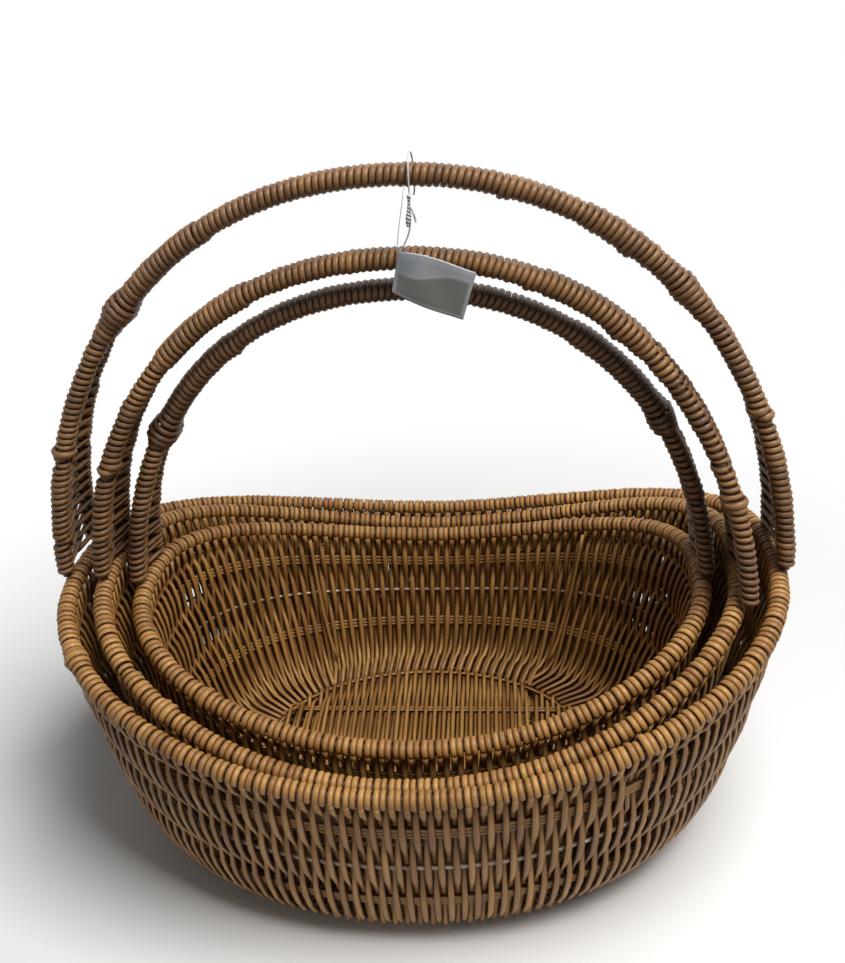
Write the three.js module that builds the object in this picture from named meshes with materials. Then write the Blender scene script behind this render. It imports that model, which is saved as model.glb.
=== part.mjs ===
// A nest of three oval wicker baskets of one pattern: large, middle and small, each standing inside
// the next. Round cane is woven over an iron wire frame and bound round the rim and the arched handle.
// Millimetres, +Z up. The origin is on the ground, under the middle of the large rim.
// +X runs along the baskets, and -Y is the side that faces the viewer.
import * as THREE from "three";

// Driving dimensions
const caneThickness = 3.3; // round cane of the weave and the bindings
const rimRodThickness = 5; // iron rod bent to the rim
const handleRodThickness = 5; // the two iron rods of each handle
const hoopThickness = 2.8; // wire hoops round the wall
const ribThickness = 2.6; // upright wires of the wall
const bottomWireThickness = 2.6; // ring and long wires of the bottom
const wallThickness = 6.2; // woven wall without its wires
const weaveRelief = 2; // how far the wall steps in and out where its strands pass the hoops
const bottomThickness = 6.2; // woven bottom without its wires
const touch = 0.3; // gap between pieces that touch
const nestGap = 0.4; // gap between a basket and the one that it stands in
const bindingSeam = 1.5; // open seam where the two ends of a rim's binding meet

// Shape shared by the three baskets
const rimSquareness = 2.38; // superellipse exponent of the rim seen from above
const bottomSquareness = 2.05; // the same for the bottom
const rimSweep = 1.92; // how late the rim climbs towards its ends
const wallBelly = 0.28; // exponent of the wall's profile, lower is rounder at the foot
const hoopLevels = [0.28, 0.54, 0.785]; // places of the hoops, as shares of the wall's height
const footLevel = 0.03; // where the wall leaves its rounded foot
const ribPlaces = { left: 0.54, right: 0.64 }; // distances of the ribs from the middle, as shares of half the length
const ringInset = 10; // bottom ring in from the edge of the bottom
const longWireSpacing = 64; // between the two long wires of the bottom
const handleSquareness = 2.115; // superellipse exponent of the handle's arch
const archDrop = 8.5; // widest place of the arch under the top of the rim's ends
const legDraw = 1.35; // how late the rods draw together on the way up
const lacedSpread = 5.6; // half distance of the rods where the lacing gives way to the grip binding
const lacingPitch = 13; // climb of one figure-of-eight turn of the lacing
const shoulderExtra = 0.9; // second layer of binding on the shoulders of the grip
const slenderShare = 0.55; // share of the grip, at its top, without that second layer

// Large basket, by its rim's centreline. The depth runs from the ground to the low point of the rim.
const largeLength = 400;
const largeWidth = 283;
const largeDepth = 117;
const largeEndRise = 47; // the rim's ends over its low points
const largeArchHeight = 227;
const largeArchOverhang = 2.5; // the arch's widest place past the end of the rim
const largeLegSpread = 43; // between the two rods where they stand on the rim
const largeLegMerge = 0.76; // share of the arch's height where the two rods have met
const largeTaperLength = 111; // how much shorter the bottom is than the rim
const largeTaperWidth = 62;
const bottomLean = -7; // the bottom's offset along the basket

// How much less each inner basket measures than the one round it
const middleLengthStep = 41;
const middleWidthStep = 26.5;
const middleDepthStep = 15.4;
const middleRiseStep = -8;
const middleArchStep = 43;
const middleOverhangStep = 4;
const middleSpreadStep = 3;
const middleMergeStep = -0.08;
const smallLengthStep = 37;
const smallWidthStep = 45;
const smallDepthStep = 5;
const smallRiseStep = 16.3;
const smallArchStep = 7;
const smallOverhangStep = -3.5;
const smallSpreadStep = 6;
const smallMergeStep = 0.2;
const smallTaperStep = 12;

// The handles are set on by hand. Their feet stand this far towards the viewer, less by the grip.
const middleLeftFeetAhead = 7.5;
const middleRightFeetAhead = 34;
const smallRightFeetAhead = -3;
const smallGripAhead = -9; // the small grip leans away from the viewer

const large = {
  name: "large", length: largeLength, width: largeWidth, depth: largeDepth, endRise: largeEndRise,
  archHeight: largeArchHeight, overhang: largeArchOverhang, legSpread: largeLegSpread,
  legMerge: largeLegMerge,
  taperLength: largeTaperLength, taperWidth: largeTaperWidth, ahead: [0, 0, 0],
};
const middle = {
  name: "middle", length: large.length - middleLengthStep, width: large.width - middleWidthStep,
  depth: large.depth - middleDepthStep, endRise: large.endRise - middleRiseStep,
  archHeight: large.archHeight - middleArchStep, overhang: large.overhang - middleOverhangStep,
  legSpread: large.legSpread - middleSpreadStep, legMerge: large.legMerge - middleMergeStep,
  taperLength: large.taperLength, taperWidth: large.taperWidth,
  ahead: [middleLeftFeetAhead, 0, middleRightFeetAhead],
};
const small = {
  name: "small", length: middle.length - smallLengthStep, width: middle.width - smallWidthStep,
  depth: middle.depth - smallDepthStep, endRise: middle.endRise - smallRiseStep,
  archHeight: middle.archHeight - smallArchStep, overhang: middle.overhang - smallOverhangStep,
  legSpread: middle.legSpread - smallSpreadStep, legMerge: middle.legMerge - smallMergeStep,
  taperLength: middle.taperLength - smallTaperStep, taperWidth: middle.taperWidth - smallTaperStep,
  ahead: [0, smallGripAhead, smallRightFeetAhead],
};
const baskets = [large, middle, small];

// Hang tag on the large handle. Its thread is tied round the grip, and its points count from the
// centre of the grip: x along the handle, y away from the viewer, z up.
const threadThickness = 0.8;
const threadRoute = [
  [14.6, -4.5, -8.9], [14.4, 0, -10], [14.2, 5.6, -8.3], [14, 9.2, -4], [13.9, 10, 1],
  [13.8, 8.4, 5.6], [13.7, 4.8, 8.9], [13.6, 0, 10], [13.5, -4.8, 8.9], [13.5, -8.4, 5.6],
  [13.4, -10, 1], [13.4, -10.4, -5], [13.3, -10.4, -12], [13.1, -10.4, -19], [12, -10.4, -25],
  [9.6, -10.4, -30.5], [6.9, -10.4, -34.6],
];
const tagLength = 38;
const tagHeight = 22.5;
const tagThickness = 0.7;
const tagCorner = 2; // radius of its corners
const tagTilt = 15.5; // degrees that its right end hangs lower
const knotTop = -9.5; // where the knot's twisted tail begins, counted as the thread's points are
const knotLength = 16;
const knotThickness = 2.6;

// Fineness of the solids
const stations = 28; // steps round a rim, hoop or bottom
const strandBundles = 2 * stations; // steps round a wall, each one a bundle of its strands
const roundSides = 6; // sides of the rods
const wireSides = 4; // sides of the wires and the lacing
const legSteps = 6; // steps along a leg of the handle
const gripSteps = 15; // steps along the grip
const lobeAngles = [96, 48, 0, -48, -96]; // degrees of the lacing's points round a rod

const caneFinish = { color: 0xa87238, roughness: 0.55, metalness: 0 };
const ironFinish = { color: 0x4a4038, roughness: 0.6, metalness: 0.7 };
const threadFinish = { color: 0xe8e8e4, roughness: 0.4, metalness: 0 };
const sleeveFinish = { color: 0xa9b0b8, roughness: 0.3, metalness: 0 };

const root = new THREE.Group();

// Joins rings of points into one closed surface. Each ring has the same number of points.
// A looped loft closes on its first ring, and an open one gets a flat cap at each end.
function loft(rings, looped) {
  const sides = rings[0].length;
  const points = rings.flat();
  const faces = [];
  const spans = looped ? rings.length : rings.length - 1;
  for (let i = 0; i < spans; i++) {
    const here = i * sides;
    const next = ((i + 1) % rings.length) * sides;
    for (let j = 0; j < sides; j++) {
      const k = (j + 1) % sides;
      faces.push(here + j, here + k, next + k, here + j, next + k, next + j);
    }
  }
  if (!looped) {
    const last = (rings.length - 1) * sides;
    for (let j = 1; j < sides - 1; j++) {
      faces.push(0, j + 1, j, last, last + j, last + j + 1);
    }
  }
  const geometry = new THREE.BufferGeometry().setFromPoints(points).setIndex(faces);
  return facingOut(geometry);
}

// Turns the faces over where the enclosed volume comes out negative.
function facingOut(geometry) {
  const p = geometry.getAttribute("position");
  const index = geometry.getIndex();
  const [a, b, c] = [new THREE.Vector3(), new THREE.Vector3(), new THREE.Vector3()];
  let volume = 0;
  for (let i = 0; i < index.count; i += 3) {
    a.fromBufferAttribute(p, index.getX(i));
    b.fromBufferAttribute(p, index.getX(i + 1));
    c.fromBufferAttribute(p, index.getX(i + 2));
    volume += a.dot(b.cross(c));
  }
  if (volume < 0) {
    for (let i = 0; i < index.count; i += 3) {
      const kept = index.getX(i);
      index.setX(i, index.getX(i + 1));
      index.setX(i + 1, kept);
    }
  }
  return geometry;
}

// A ring of points round a frame's point, square to its path.
function ring(f, radius, sides) {
  const points = [];
  for (let j = 0; j < sides; j++) {
    const angle = (2 * Math.PI * j) / sides;
    points.push(f.point.clone()
      .addScaledVector(f.side, radius * Math.cos(angle))
      .addScaledVector(f.up, radius * Math.sin(angle)));
  }
  return points;
}

// A rod or wire along a path.
function rodAlong(path, guides, thickness, sides, looped) {
  const rings = framesAlong(path, guides, looped).map((f) => ring(f, thickness / 2, sides));
  return loft(rings, looped);
}

// Directions square to a path at each of its points: side is kept as near to a guide as it can be.
function framesAlong(path, guides, looped) {
  return path.map((point, i) => {
    const before = looped ? path[(i + path.length - 1) % path.length] : path[Math.max(i - 1, 0)];
    const after = looped ? path[(i + 1) % path.length] : path[Math.min(i + 1, path.length - 1)];
    const along = after.clone().sub(before).normalize();
    const side = guides[i].clone().addScaledVector(along, -guides[i].dot(along)).normalize();
    return { point, along, side, up: new THREE.Vector3().crossVectors(side, along).normalize() };
  });
}

// Scaled polar superellipse: the same angle gives matching points on outlines of different sizes.
function outline(halfLength, halfWidth, squareness, angle) {
  const c = Math.cos(angle);
  const s = Math.sin(angle);
  const reach = (Math.abs(c) ** squareness + Math.abs(s) ** squareness) ** (-1 / squareness);
  return { x: halfLength * reach * c, y: halfWidth * reach * s, endward: Math.abs(reach * c) };
}

// Offset of a basket's bottom along it.
function leanOf(basket) {
  return (bottomLean * basket.length) / largeLength;
}

// Height of the rim's centreline over the basket's own ground.
function rimHeight(basket, angle) {
  const { endward } = outline(1, 1, rimSquareness, angle);
  return basket.depth + basket.endRise * endward ** rimSweep;
}

// The weave stands further out than in, because its wires lie against its inner face.
const weaveShift = 1.55;
const innerFace = weaveShift - wallThickness / 2;
const outerFace = weaveShift + wallThickness / 2;

// Height of the wall's middle surface at its foot, where the weave turns flat under the basket.
const footHeight = bottomThickness / 2 + weaveShift;

// A point of the wall's middle surface: level 0 is the foot and level 1 the rim's centreline.
function wallPoint(basket, level, angle) {
  const opened = Math.max(level, 0) ** wallBelly;
  const halfLength = (basket.length - basket.taperLength * (1 - opened)) / 2;
  const halfWidth = (basket.width - basket.taperWidth * (1 - opened)) / 2;
  const squareness = THREE.MathUtils.lerp(bottomSquareness, rimSquareness, level);
  const { x, y } = outline(halfLength, halfWidth, squareness, angle);
  const z = THREE.MathUtils.lerp(footHeight, rimHeight(basket, angle), level);
  return new THREE.Vector3(x + leanOf(basket) * (1 - level), y, z);
}

// Outward direction of the wall at a level. At the foot it points straight down.
function wallNormal(basket, level, angle) {
  if (level <= 0) return new THREE.Vector3(0, 0, -1);
  const step = 0.004;
  const low = wallPoint(basket, level - step, angle);
  const rise = wallPoint(basket, level + step, angle).sub(low);
  const turn = wallPoint(basket, level, angle + step).sub(wallPoint(basket, level, angle - step));
  return turn.cross(rise).normalize();
}

// A point set off from the wall's middle surface, outwards where the offset is positive.
function besideWall(basket, level, angle, offset) {
  return wallPoint(basket, level, angle).addScaledVector(wallNormal(basket, level, angle), offset);
}

// Angles that step round the rim by equal lengths.
function evenAngles(basket, count) {
  const fine = 1440;
  const lengths = [0];
  for (let i = 1; i <= fine; i++) {
    const from = wallPoint(basket, 1, (2 * Math.PI * (i - 1)) / fine);
    lengths.push(lengths[i - 1] + from.distanceTo(wallPoint(basket, 1, (2 * Math.PI * i) / fine)));
  }
  const angles = [];
  let i = 0;
  for (let k = 0; k < count; k++) {
    const wanted = (lengths[fine] * k) / count;
    while (lengths[i + 1] < wanted) i++;
    const share = (wanted - lengths[i]) / (lengths[i + 1] - lengths[i]);
    angles.push((2 * Math.PI * (i + share)) / fine);
  }
  return angles;
}

const rimBindingRadius = rimRodThickness / 2 + touch + caneThickness;

// The rim rod is one closed ring, and its binding is a sleeve round it that is open at one seam.
function rimRod(basket, angles) {
  const path = angles.map((angle) => wallPoint(basket, 1, angle));
  const guides = angles.map((angle) => flatNormal(basket, angle));
  return rodAlong(path, guides, rimRodThickness, roundSides, true);
}

function flatNormal(basket, angle) {
  const normal = wallNormal(basket, 1, angle);
  normal.z = 0;
  return normal.normalize();
}

function rimBinding(basket, angles) {
  const path = angles.map((angle) => wallPoint(basket, 1, angle));
  const guides = angles.map((angle) => flatNormal(basket, angle));
  const frames = framesAlong(path, guides, true);
  // The seam opens in the middle of the back, between two stations.
  const seam = angles.findIndex((angle) => angle > Math.PI / 2) - 1;
  const ordered = angles.map((_, i) => frames[(seam + 1 + i) % frames.length]);
  const [first, last] = [ordered[0], ordered[ordered.length - 1]];
  const across = first.point.clone().sub(last.point);
  const apart = across.length();
  const end = (from, share) => ({ ...from, point: last.point.clone().addScaledVector(across, share) });
  ordered.unshift(end(first, (apart + bindingSeam) / (2 * apart)));
  ordered.push(end(last, (apart - bindingSeam) / (2 * apart)));
  const bore = rimRodThickness / 2 + touch;
  const outside = ordered.map((f) => ring(f, rimBindingRadius, roundSides));
  const inside = ordered.map((f) => ring(f, bore, roundSides));
  return loft([...outside, ...inside.reverse()], true);
}

// The woven wall, from the foot to the underside of the rim binding. Its strands are shown as
// bundles, which pass outside and inside the hoops by turns.
const wallLevels = [0, footLevel, ...hoopLevels];
const firstHoopRow = wallLevels.indexOf(hoopLevels[0]);

// Level of the wall's top. The rim binding runs straight from one of its stations to the next, so
// it hangs a little lower between them, and the wall stops short by as much.
function topLevel(basket, angles, bundle) {
  const height = (i) => rimHeight(basket, angles[i % angles.length]);
  const straight = bundle % 2 ? (height(bundle - 1) + height(bundle + 1)) / 2 : height(bundle);
  const sag = Math.max(height(bundle) - straight, 0);
  return 1 - (rimBindingRadius + touch + sag) / (height(bundle) - footHeight);
}

function wovenWall(basket) {
  const angles = evenAngles(basket, strandBundles);
  const rings = angles.map((angle, bundle) => {
    const levels = [...wallLevels, topLevel(basket, angles, bundle)];
    const at = (level, offset) => besideWall(basket, level, angle, offset);
    const stepped = (row, parity) => {
      const atHoop = row >= firstHoopRow && row < wallLevels.length;
      return atHoop && (row + bundle) % 2 === parity ? weaveRelief : 0;
    };
    const outside = levels.map((level, row) => at(level, outerFace - stepped(row, 0)));
    const inside = levels.map((level, row) => at(level, innerFace + stepped(row, 1)));
    return [...outside, ...inside.reverse()];
  });
  return loft(rings, true);
}

// A wire hoop that lies against the inner face of the weave at one level.
function wallHoop(basket, angles, level) {
  const offset = innerFace - touch - hoopThickness / 2;
  const path = angles.map((angle) => besideWall(basket, level, angle, offset));
  const guides = angles.map((angle) => wallNormal(basket, level, angle));
  return rodAlong(path, guides, hoopThickness, wireSides, true);
}

// Half sizes of the woven bottom, less an inset.
function bottomHalves(basket, inset) {
  return {
    halfLength: (basket.length - basket.taperLength) / 2 - inset,
    halfWidth: (basket.width - basket.taperWidth) / 2 - inset,
  };
}

// Outline of the woven bottom, inside the foot of the wall.
function bottomOutline(basket, angles, inset, height) {
  const { halfLength, halfWidth } = bottomHalves(basket, inset);
  return angles.map((angle) => {
    const { x, y } = outline(halfLength, halfWidth, bottomSquareness, angle);
    return new THREE.Vector3(x + leanOf(basket), y, height);
  });
}

function wovenBottom(basket, angles) {
  const edge = bottomOutline(basket, angles, touch, 0);
  const shape = new THREE.Shape(edge.map((p) => new THREE.Vector2(p.x, p.y)));
  return new THREE.ExtrudeGeometry(shape, { depth: bottomThickness, bevelEnabled: false });
}

const bottomWireHeight = bottomThickness + touch + bottomWireThickness / 2;

function bottomRing(basket, angles) {
  const path = bottomOutline(basket, angles, ringInset, bottomWireHeight);
  const guides = path.map((p) => new THREE.Vector3(p.x - leanOf(basket), p.y, 0).normalize());
  return rodAlong(path, guides, bottomWireThickness, wireSides, true);
}

// A straight wire along the bottom, on one side of the middle, ending inside the bottom ring.
function bottomLongWire(basket, side) {
  const y = (side * longWireSpacing) / 2;
  const { halfLength, halfWidth } = bottomHalves(basket, ringInset);
  // The ring crosses the wire's end at a slant, so its outer corner sets the length.
  const corner = (Math.abs(y) + bottomWireThickness) / halfWidth;
  const reach = (1 - corner ** bottomSquareness) ** (1 / bottomSquareness);
  const end = halfLength * reach - bottomWireThickness - touch;
  const half = bottomWireThickness / 2;
  return new THREE.CylinderGeometry(half, half, 2 * end, roundSides)
    .rotateZ(Math.PI / 2)
    .translate(leanOf(basket), y, bottomWireHeight);
}

// An upright wire down the inside of the wall, across the hoops.
const ribLevels = [0.1, ...hoopLevels, 0.92];
function wallRib(basket, angles, endSide, backSide) {
  const place = endSide < 0 ? ribPlaces.left : ribPlaces.right;
  const sideways = (1 - place ** rimSquareness) ** (1 / rimSquareness);
  const wanted = Math.atan2(backSide * sideways, endSide * place);
  const off = (angle) => Math.abs(Math.sin((angle - wanted) / 2));
  const nearest = angles.reduce((best, angle) => (off(angle) < off(best) ? angle : best));
  const offset = innerFace - touch - hoopThickness - touch - ribThickness / 2;
  const path = ribLevels.map((level) => besideWall(basket, level, nearest, offset));
  const guides = ribLevels.map((level) => wallNormal(basket, level, nearest));
  return rodAlong(path, guides, ribThickness, wireSides, false);
}

// The handle is an arch of two rods, which stand apart at the feet and meet on the way up.
const rimTop = rimBindingRadius * Math.cos(Math.PI / 6);
const gripHalf = handleRodThickness / 2 + touch / 2;

function archBase(basket) {
  return basket.depth + basket.endRise - archDrop;
}

// How far the rods have drawn together at a height: 0 at the widest place of the arch, 1 at the grip.
function drawnIn(basket, z) {
  const mergeHeight = basket.archHeight * basket.legMerge;
  return THREE.MathUtils.clamp((z - archBase(basket)) / mergeHeight, 0, 1) ** legDraw;
}

// A point between the two rods, at a polar angle of the arch: 0 is its right end and pi its left.
function archPoint(basket, polar) {
  const halfLength = basket.length / 2 + basket.overhang;
  const { x, y } = outline(halfLength, basket.archHeight, handleSquareness, polar);
  const z = archBase(basket) + y;
  const [leftAhead, gripAhead, rightAhead] = basket.ahead;
  const ahead = THREE.MathUtils.lerp(x < 0 ? leftAhead : rightAhead, gripAhead, drawnIn(basket, z));
  return new THREE.Vector3(x, -ahead, z);
}

// Half the distance between the rods at a height.
function rodSpread(basket, z) {
  return THREE.MathUtils.lerp(basket.legSpread / 2, gripHalf, drawnIn(basket, z));
}

// Polar angle of the arch's right leg at a height.
function polarAt(basket, z) {
  const up = (z - archBase(basket)) / basket.archHeight;
  return Math.atan2(up, (1 - up ** handleSquareness) ** (1 / handleSquareness));
}

// Points at equal steps along the arch between two of its polar angles.
function archStretch(basket, from, to, steps) {
  const fine = 400;
  const points = [];
  const lengths = [0];
  for (let i = 0; i <= fine; i++) {
    points.push(archPoint(basket, THREE.MathUtils.lerp(from, to, i / fine)));
    if (i) lengths.push(lengths[i - 1] + points[i].distanceTo(points[i - 1]));
  }
  const picked = [];
  let i = 0;
  for (let k = 0; k <= steps; k++) {
    const wanted = (lengths[fine] * k) / steps;
    while (i < fine - 1 && lengths[i + 1] < wanted) i++;
    const share = (wanted - lengths[i]) / (lengths[i + 1] - lengths[i]);
    picked.push(points[i].clone().lerp(points[i + 1], share));
  }
  return picked;
}

// Height of one foot of the handle, on the rim binding.
function footTop(basket, endSide, side) {
  const polar = endSide > 0 ? 0 : Math.PI;
  const foot = archPoint(basket, polar);
  foot.y += (side * basket.legSpread) / 2;
  const footAngle = Math.atan2(foot.y / basket.width, foot.x / basket.length);
  return rimHeight(basket, footAngle) + rimTop + touch;
}

function handleRod(basket, side) {
  const rightFoot = polarAt(basket, footTop(basket, 1, side));
  const leftFoot = polarAt(basket, footTop(basket, -1, side));
  const join = polarAt(basket, heightOfSpread(basket, lacedSpread));
  const path = [
    ...archStretch(basket, rightFoot, join, legSteps),
    ...gripPath(basket).slice(1, -1),
    ...archStretch(basket, Math.PI - join, Math.PI - leftFoot, legSteps),
  ];
  path.forEach((point) => (point.y += side * rodSpread(basket, point.z)));
  const guides = path.map(() => new THREE.Vector3(0, 1, 0));
  return rodAlong(path, guides, handleRodThickness, roundSides, false);
}

// The stretch of the arch where both rods are bound together.
function gripPath(basket) {
  const join = polarAt(basket, heightOfSpread(basket, lacedSpread));
  return archStretch(basket, join, Math.PI - join, gripSteps);
}

// A ring of eight points round two rods, with flat sides that clear circles of the given radius.
function doubleRing(f, spread, radius) {
  const corner = radius / Math.cos(Math.PI / 8);
  const points = [];
  for (let j = 0; j < 8; j++) {
    const side = j < 4 ? 1 : -1;
    const angle = (Math.PI * (2 * j - 3)) / 8;
    points.push(f.point.clone()
      .addScaledVector(f.side, side * spread + corner * Math.cos(angle))
      .addScaledVector(f.up, corner * Math.sin(angle)));
  }
  return points;
}

// Height at which the rods stand at the given half distance.
function heightOfSpread(basket, spread) {
  const widest = basket.legSpread / 2;
  const share = ((widest - spread) / (widest - gripHalf)) ** (1 / legDraw);
  return archBase(basket) + share * basket.archHeight * basket.legMerge;
}

// The cane bound round both rods over the top of the arch. It is thicker on the shoulders.
function gripBinding(basket) {
  const path = gripPath(basket);
  const flatPath = path.map((p) => new THREE.Vector3(p.x, 0, p.z));
  const frames = framesAlong(flatPath, path.map(() => new THREE.Vector3(0, 1, 0)), false);
  frames.forEach((f, i) => (f.point = path[i]));
  const bore = handleRodThickness / 2 + touch;
  const inside = frames.map((f) => doubleRing(f, rodSpread(basket, f.point.z), bore));
  const outside = frames.map((f, i) => {
    const fromTop = Math.abs(2 * i / gripSteps - 1);
    const extra = fromTop > slenderShare && fromTop < 1 ? shoulderExtra : 0;
    return doubleRing(f, rodSpread(basket, f.point.z), bore + caneThickness + extra);
  });
  return loft([...outside, ...inside.reverse()], true);
}

// The cane laced in figures of eight round the two rods of a leg, as one unbroken tube.
function legLacing(basket, endSide) {
  const foot = Math.max(footTop(basket, endSide, 1), footTop(basket, endSide, -1));
  const low = polarAt(basket, foot + caneThickness);
  const high = polarAt(basket, heightOfSpread(basket, lacedSpread) - caneThickness);
  const ends = endSide > 0 ? [low, high] : [Math.PI - low, Math.PI - high];
  const leg = archStretch(basket, ...ends, 100);
  const loops = Math.floor(leg[0].distanceTo(leg[leg.length - 1]) / lacingPitch);
  const halfStep = THREE.MathUtils.degToRad(lobeAngles[0] - lobeAngles[1]) / 2;
  const lobe = (handleRodThickness / 2 + caneThickness / 2 + touch) / Math.cos(halfStep);
  const steps = loops * 2 * lobeAngles.length;
  const path = [];
  for (let k = 0; k < steps; k++) {
    const place = (k / (steps - 1)) * (leg.length - 1);
    const i = Math.min(Math.floor(place), leg.length - 2);
    const centre = leg[i].clone().lerp(leg[i + 1], place - i);
    const along = leg[i + 1].clone().sub(leg[i]).normalize();
    const out = new THREE.Vector3(along.z, 0, -along.x).normalize().multiplyScalar(endSide);
    const rod = Math.floor(k / lobeAngles.length) % 2 ? 1 : -1;
    const angle = THREE.MathUtils.degToRad(lobeAngles[k % lobeAngles.length]);
    centre.y += rod * (rodSpread(basket, centre.z) + lobe * Math.cos(angle));
    path.push(centre.addScaledVector(out, lobe * Math.sin(angle)));
  }
  const run = (from, to) => from.clone().sub(to).setLength(caneThickness).add(from);
  path.unshift(run(path[0], path[1]));
  path.push(run(path[path.length - 1], path[path.length - 2]));
  console.log(`${basket.name} lacing: ${loops} loops, ${leastGap(path).toFixed(2)} mm to itself`);
  return loft(carried(path).map((f) => ring(f, caneThickness / 2, wireSides)), false);
}

// Directions square to a path, carried along it without twist.
function carried(path) {
  let side = new THREE.Vector3(1, 0, 0);
  return path.map((point, i) => {
    const before = path[Math.max(i - 1, 0)];
    const after = path[Math.min(i + 1, path.length - 1)];
    const along = after.clone().sub(before).normalize();
    side = side.clone().addScaledVector(along, -side.dot(along)).normalize();
    return { point, side, up: new THREE.Vector3().crossVectors(side, along) };
  });
}

// Least gap between stretches of the cane that lie over three thicknesses apart along it.
function leastGap(path) {
  const fine = [];
  for (let i = 0; i + 1 < path.length; i++) {
    for (let k = 0; k < 6; k++) fine.push(path[i].clone().lerp(path[i + 1], k / 6));
  }
  const lengths = [0];
  fine.forEach((p, i) => i && lengths.push(lengths[i - 1] + p.distanceTo(fine[i - 1])));
  let least = Infinity;
  for (let i = 0; i < fine.length; i++) {
    for (let j = i + 1; j < fine.length; j++) {
      if (lengths[j] - lengths[i] < 3 * caneThickness) continue;
      least = Math.min(least, fine[i].distanceTo(fine[j]));
    }
  }
  return least - caneThickness;
}

// The tag's thread, from where it is tied under the grip, once round the grip and down to the tag.
function tagThread() {
  const route = new THREE.CatmullRomCurve3(threadRoute.map((p) => new THREE.Vector3(...p)));
  const section = new THREE.Shape();
  section.absarc(0, 0, threadThickness / 2, 0, 2 * Math.PI);
  return new THREE.ExtrudeGeometry(section, { steps: 44, extrudePath: route, curveSegments: 8 });
}

// The clear sleeve, hung by its top left corner.
function tagSleeve() {
  const [w, h, r] = [tagLength, tagHeight, tagCorner];
  const shape = new THREE.Shape();
  shape.moveTo(r, 0);
  shape.lineTo(w - r, 0);
  shape.absarc(w - r, -r, r, Math.PI / 2, 0, true);
  shape.lineTo(w, r - h);
  shape.absarc(w - r, r - h, r, 0, -Math.PI / 2, true);
  shape.lineTo(r, -h);
  shape.absarc(r, r - h, r, -Math.PI / 2, -Math.PI, true);
  shape.lineTo(0, -r);
  shape.absarc(r, -r, r, Math.PI, Math.PI / 2, true);
  const end = threadRoute[threadRoute.length - 1];
  return new THREE.ExtrudeGeometry(shape, { depth: tagThickness, bevelEnabled: false, curveSegments: 3 })
    .rotateX(Math.PI / 2)
    .translate(-r, tagThickness / 2, 0)
    .rotateY(THREE.MathUtils.degToRad(tagTilt))
    .translate(end[0], end[1], end[2] - threadThickness / 2 - touch);
}

// The short twisted tail of the knot, which hangs in front of the thread, just under the grip.
function tagKnot() {
  const half = knotThickness / 2;
  const profile = [[0, 0], [0.85, 0.27], [0.6, 0.5], [1, 0.77], [0.6, 0.95], [0, 1]];
  const points = profile.map(([wide, high]) => new THREE.Vector2(half * wide, knotLength * high));
  const [x, y] = threadRoute[12];
  return new THREE.LatheGeometry(points, 8)
    .rotateX(Math.PI / 2)
    .translate(x, y - threadThickness / 2 - touch - half, knotTop - knotLength);
}

function addPiece(group, name, geometry, finish) {
  const mesh = new THREE.Mesh(geometry, new THREE.MeshStandardMaterial(finish));
  mesh.name = name;
  group.add(mesh);
}

// Each basket stands on the one round it, and the wires on the bottom carry it.
const nestStep = bottomThickness + touch + bottomWireThickness + nestGap;

baskets.forEach((basket, i) => {
  const group = new THREE.Group();
  group.position.z = i * nestStep;
  root.add(group);
  const angles = evenAngles(basket, stations);
  const add = (name, geometry, finish) => addPiece(group, `${basket.name}_${name}`, geometry, finish);
  add("rim_rod", rimRod(basket, angles), ironFinish);
  add("rim_binding", rimBinding(basket, angles), caneFinish);
  add("wall_weave", wovenWall(basket), caneFinish);
  add("lower_hoop", wallHoop(basket, angles, hoopLevels[0]), ironFinish);
  add("middle_hoop", wallHoop(basket, angles, hoopLevels[1]), ironFinish);
  add("upper_hoop", wallHoop(basket, angles, hoopLevels[2]), ironFinish);
  for (const [end, endSide] of [["left", -1], ["right", 1]]) {
    add(`front_${end}_rib`, wallRib(basket, angles, endSide, -1), ironFinish);
    add(`back_${end}_rib`, wallRib(basket, angles, endSide, 1), ironFinish);
    add(`${end}_leg_lacing`, legLacing(basket, endSide), caneFinish);
  }
  add("bottom_weave", wovenBottom(basket, angles), caneFinish);
  add("bottom_ring", bottomRing(basket, angles), ironFinish);
  add("bottom_front_wire", bottomLongWire(basket, -1), ironFinish);
  add("bottom_back_wire", bottomLongWire(basket, 1), ironFinish);
  add("handle_front_rod", handleRod(basket, -1), ironFinish);
  add("handle_back_rod", handleRod(basket, 1), ironFinish);
  add("grip_binding", gripBinding(basket), caneFinish);
});

const tag = new THREE.Group();
tag.position.copy(archPoint(large, Math.PI / 2));
addPiece(tag, "tag_thread", tagThread(), threadFinish);
addPiece(tag, "tag_sleeve", tagSleeve(), sleeveFinish);
addPiece(tag, "tag_knot", tagKnot(), threadFinish);
root.add(tag);

export default root;
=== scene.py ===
import math

import bpy
import numpy as np
from mathutils import Matrix, Vector


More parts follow.
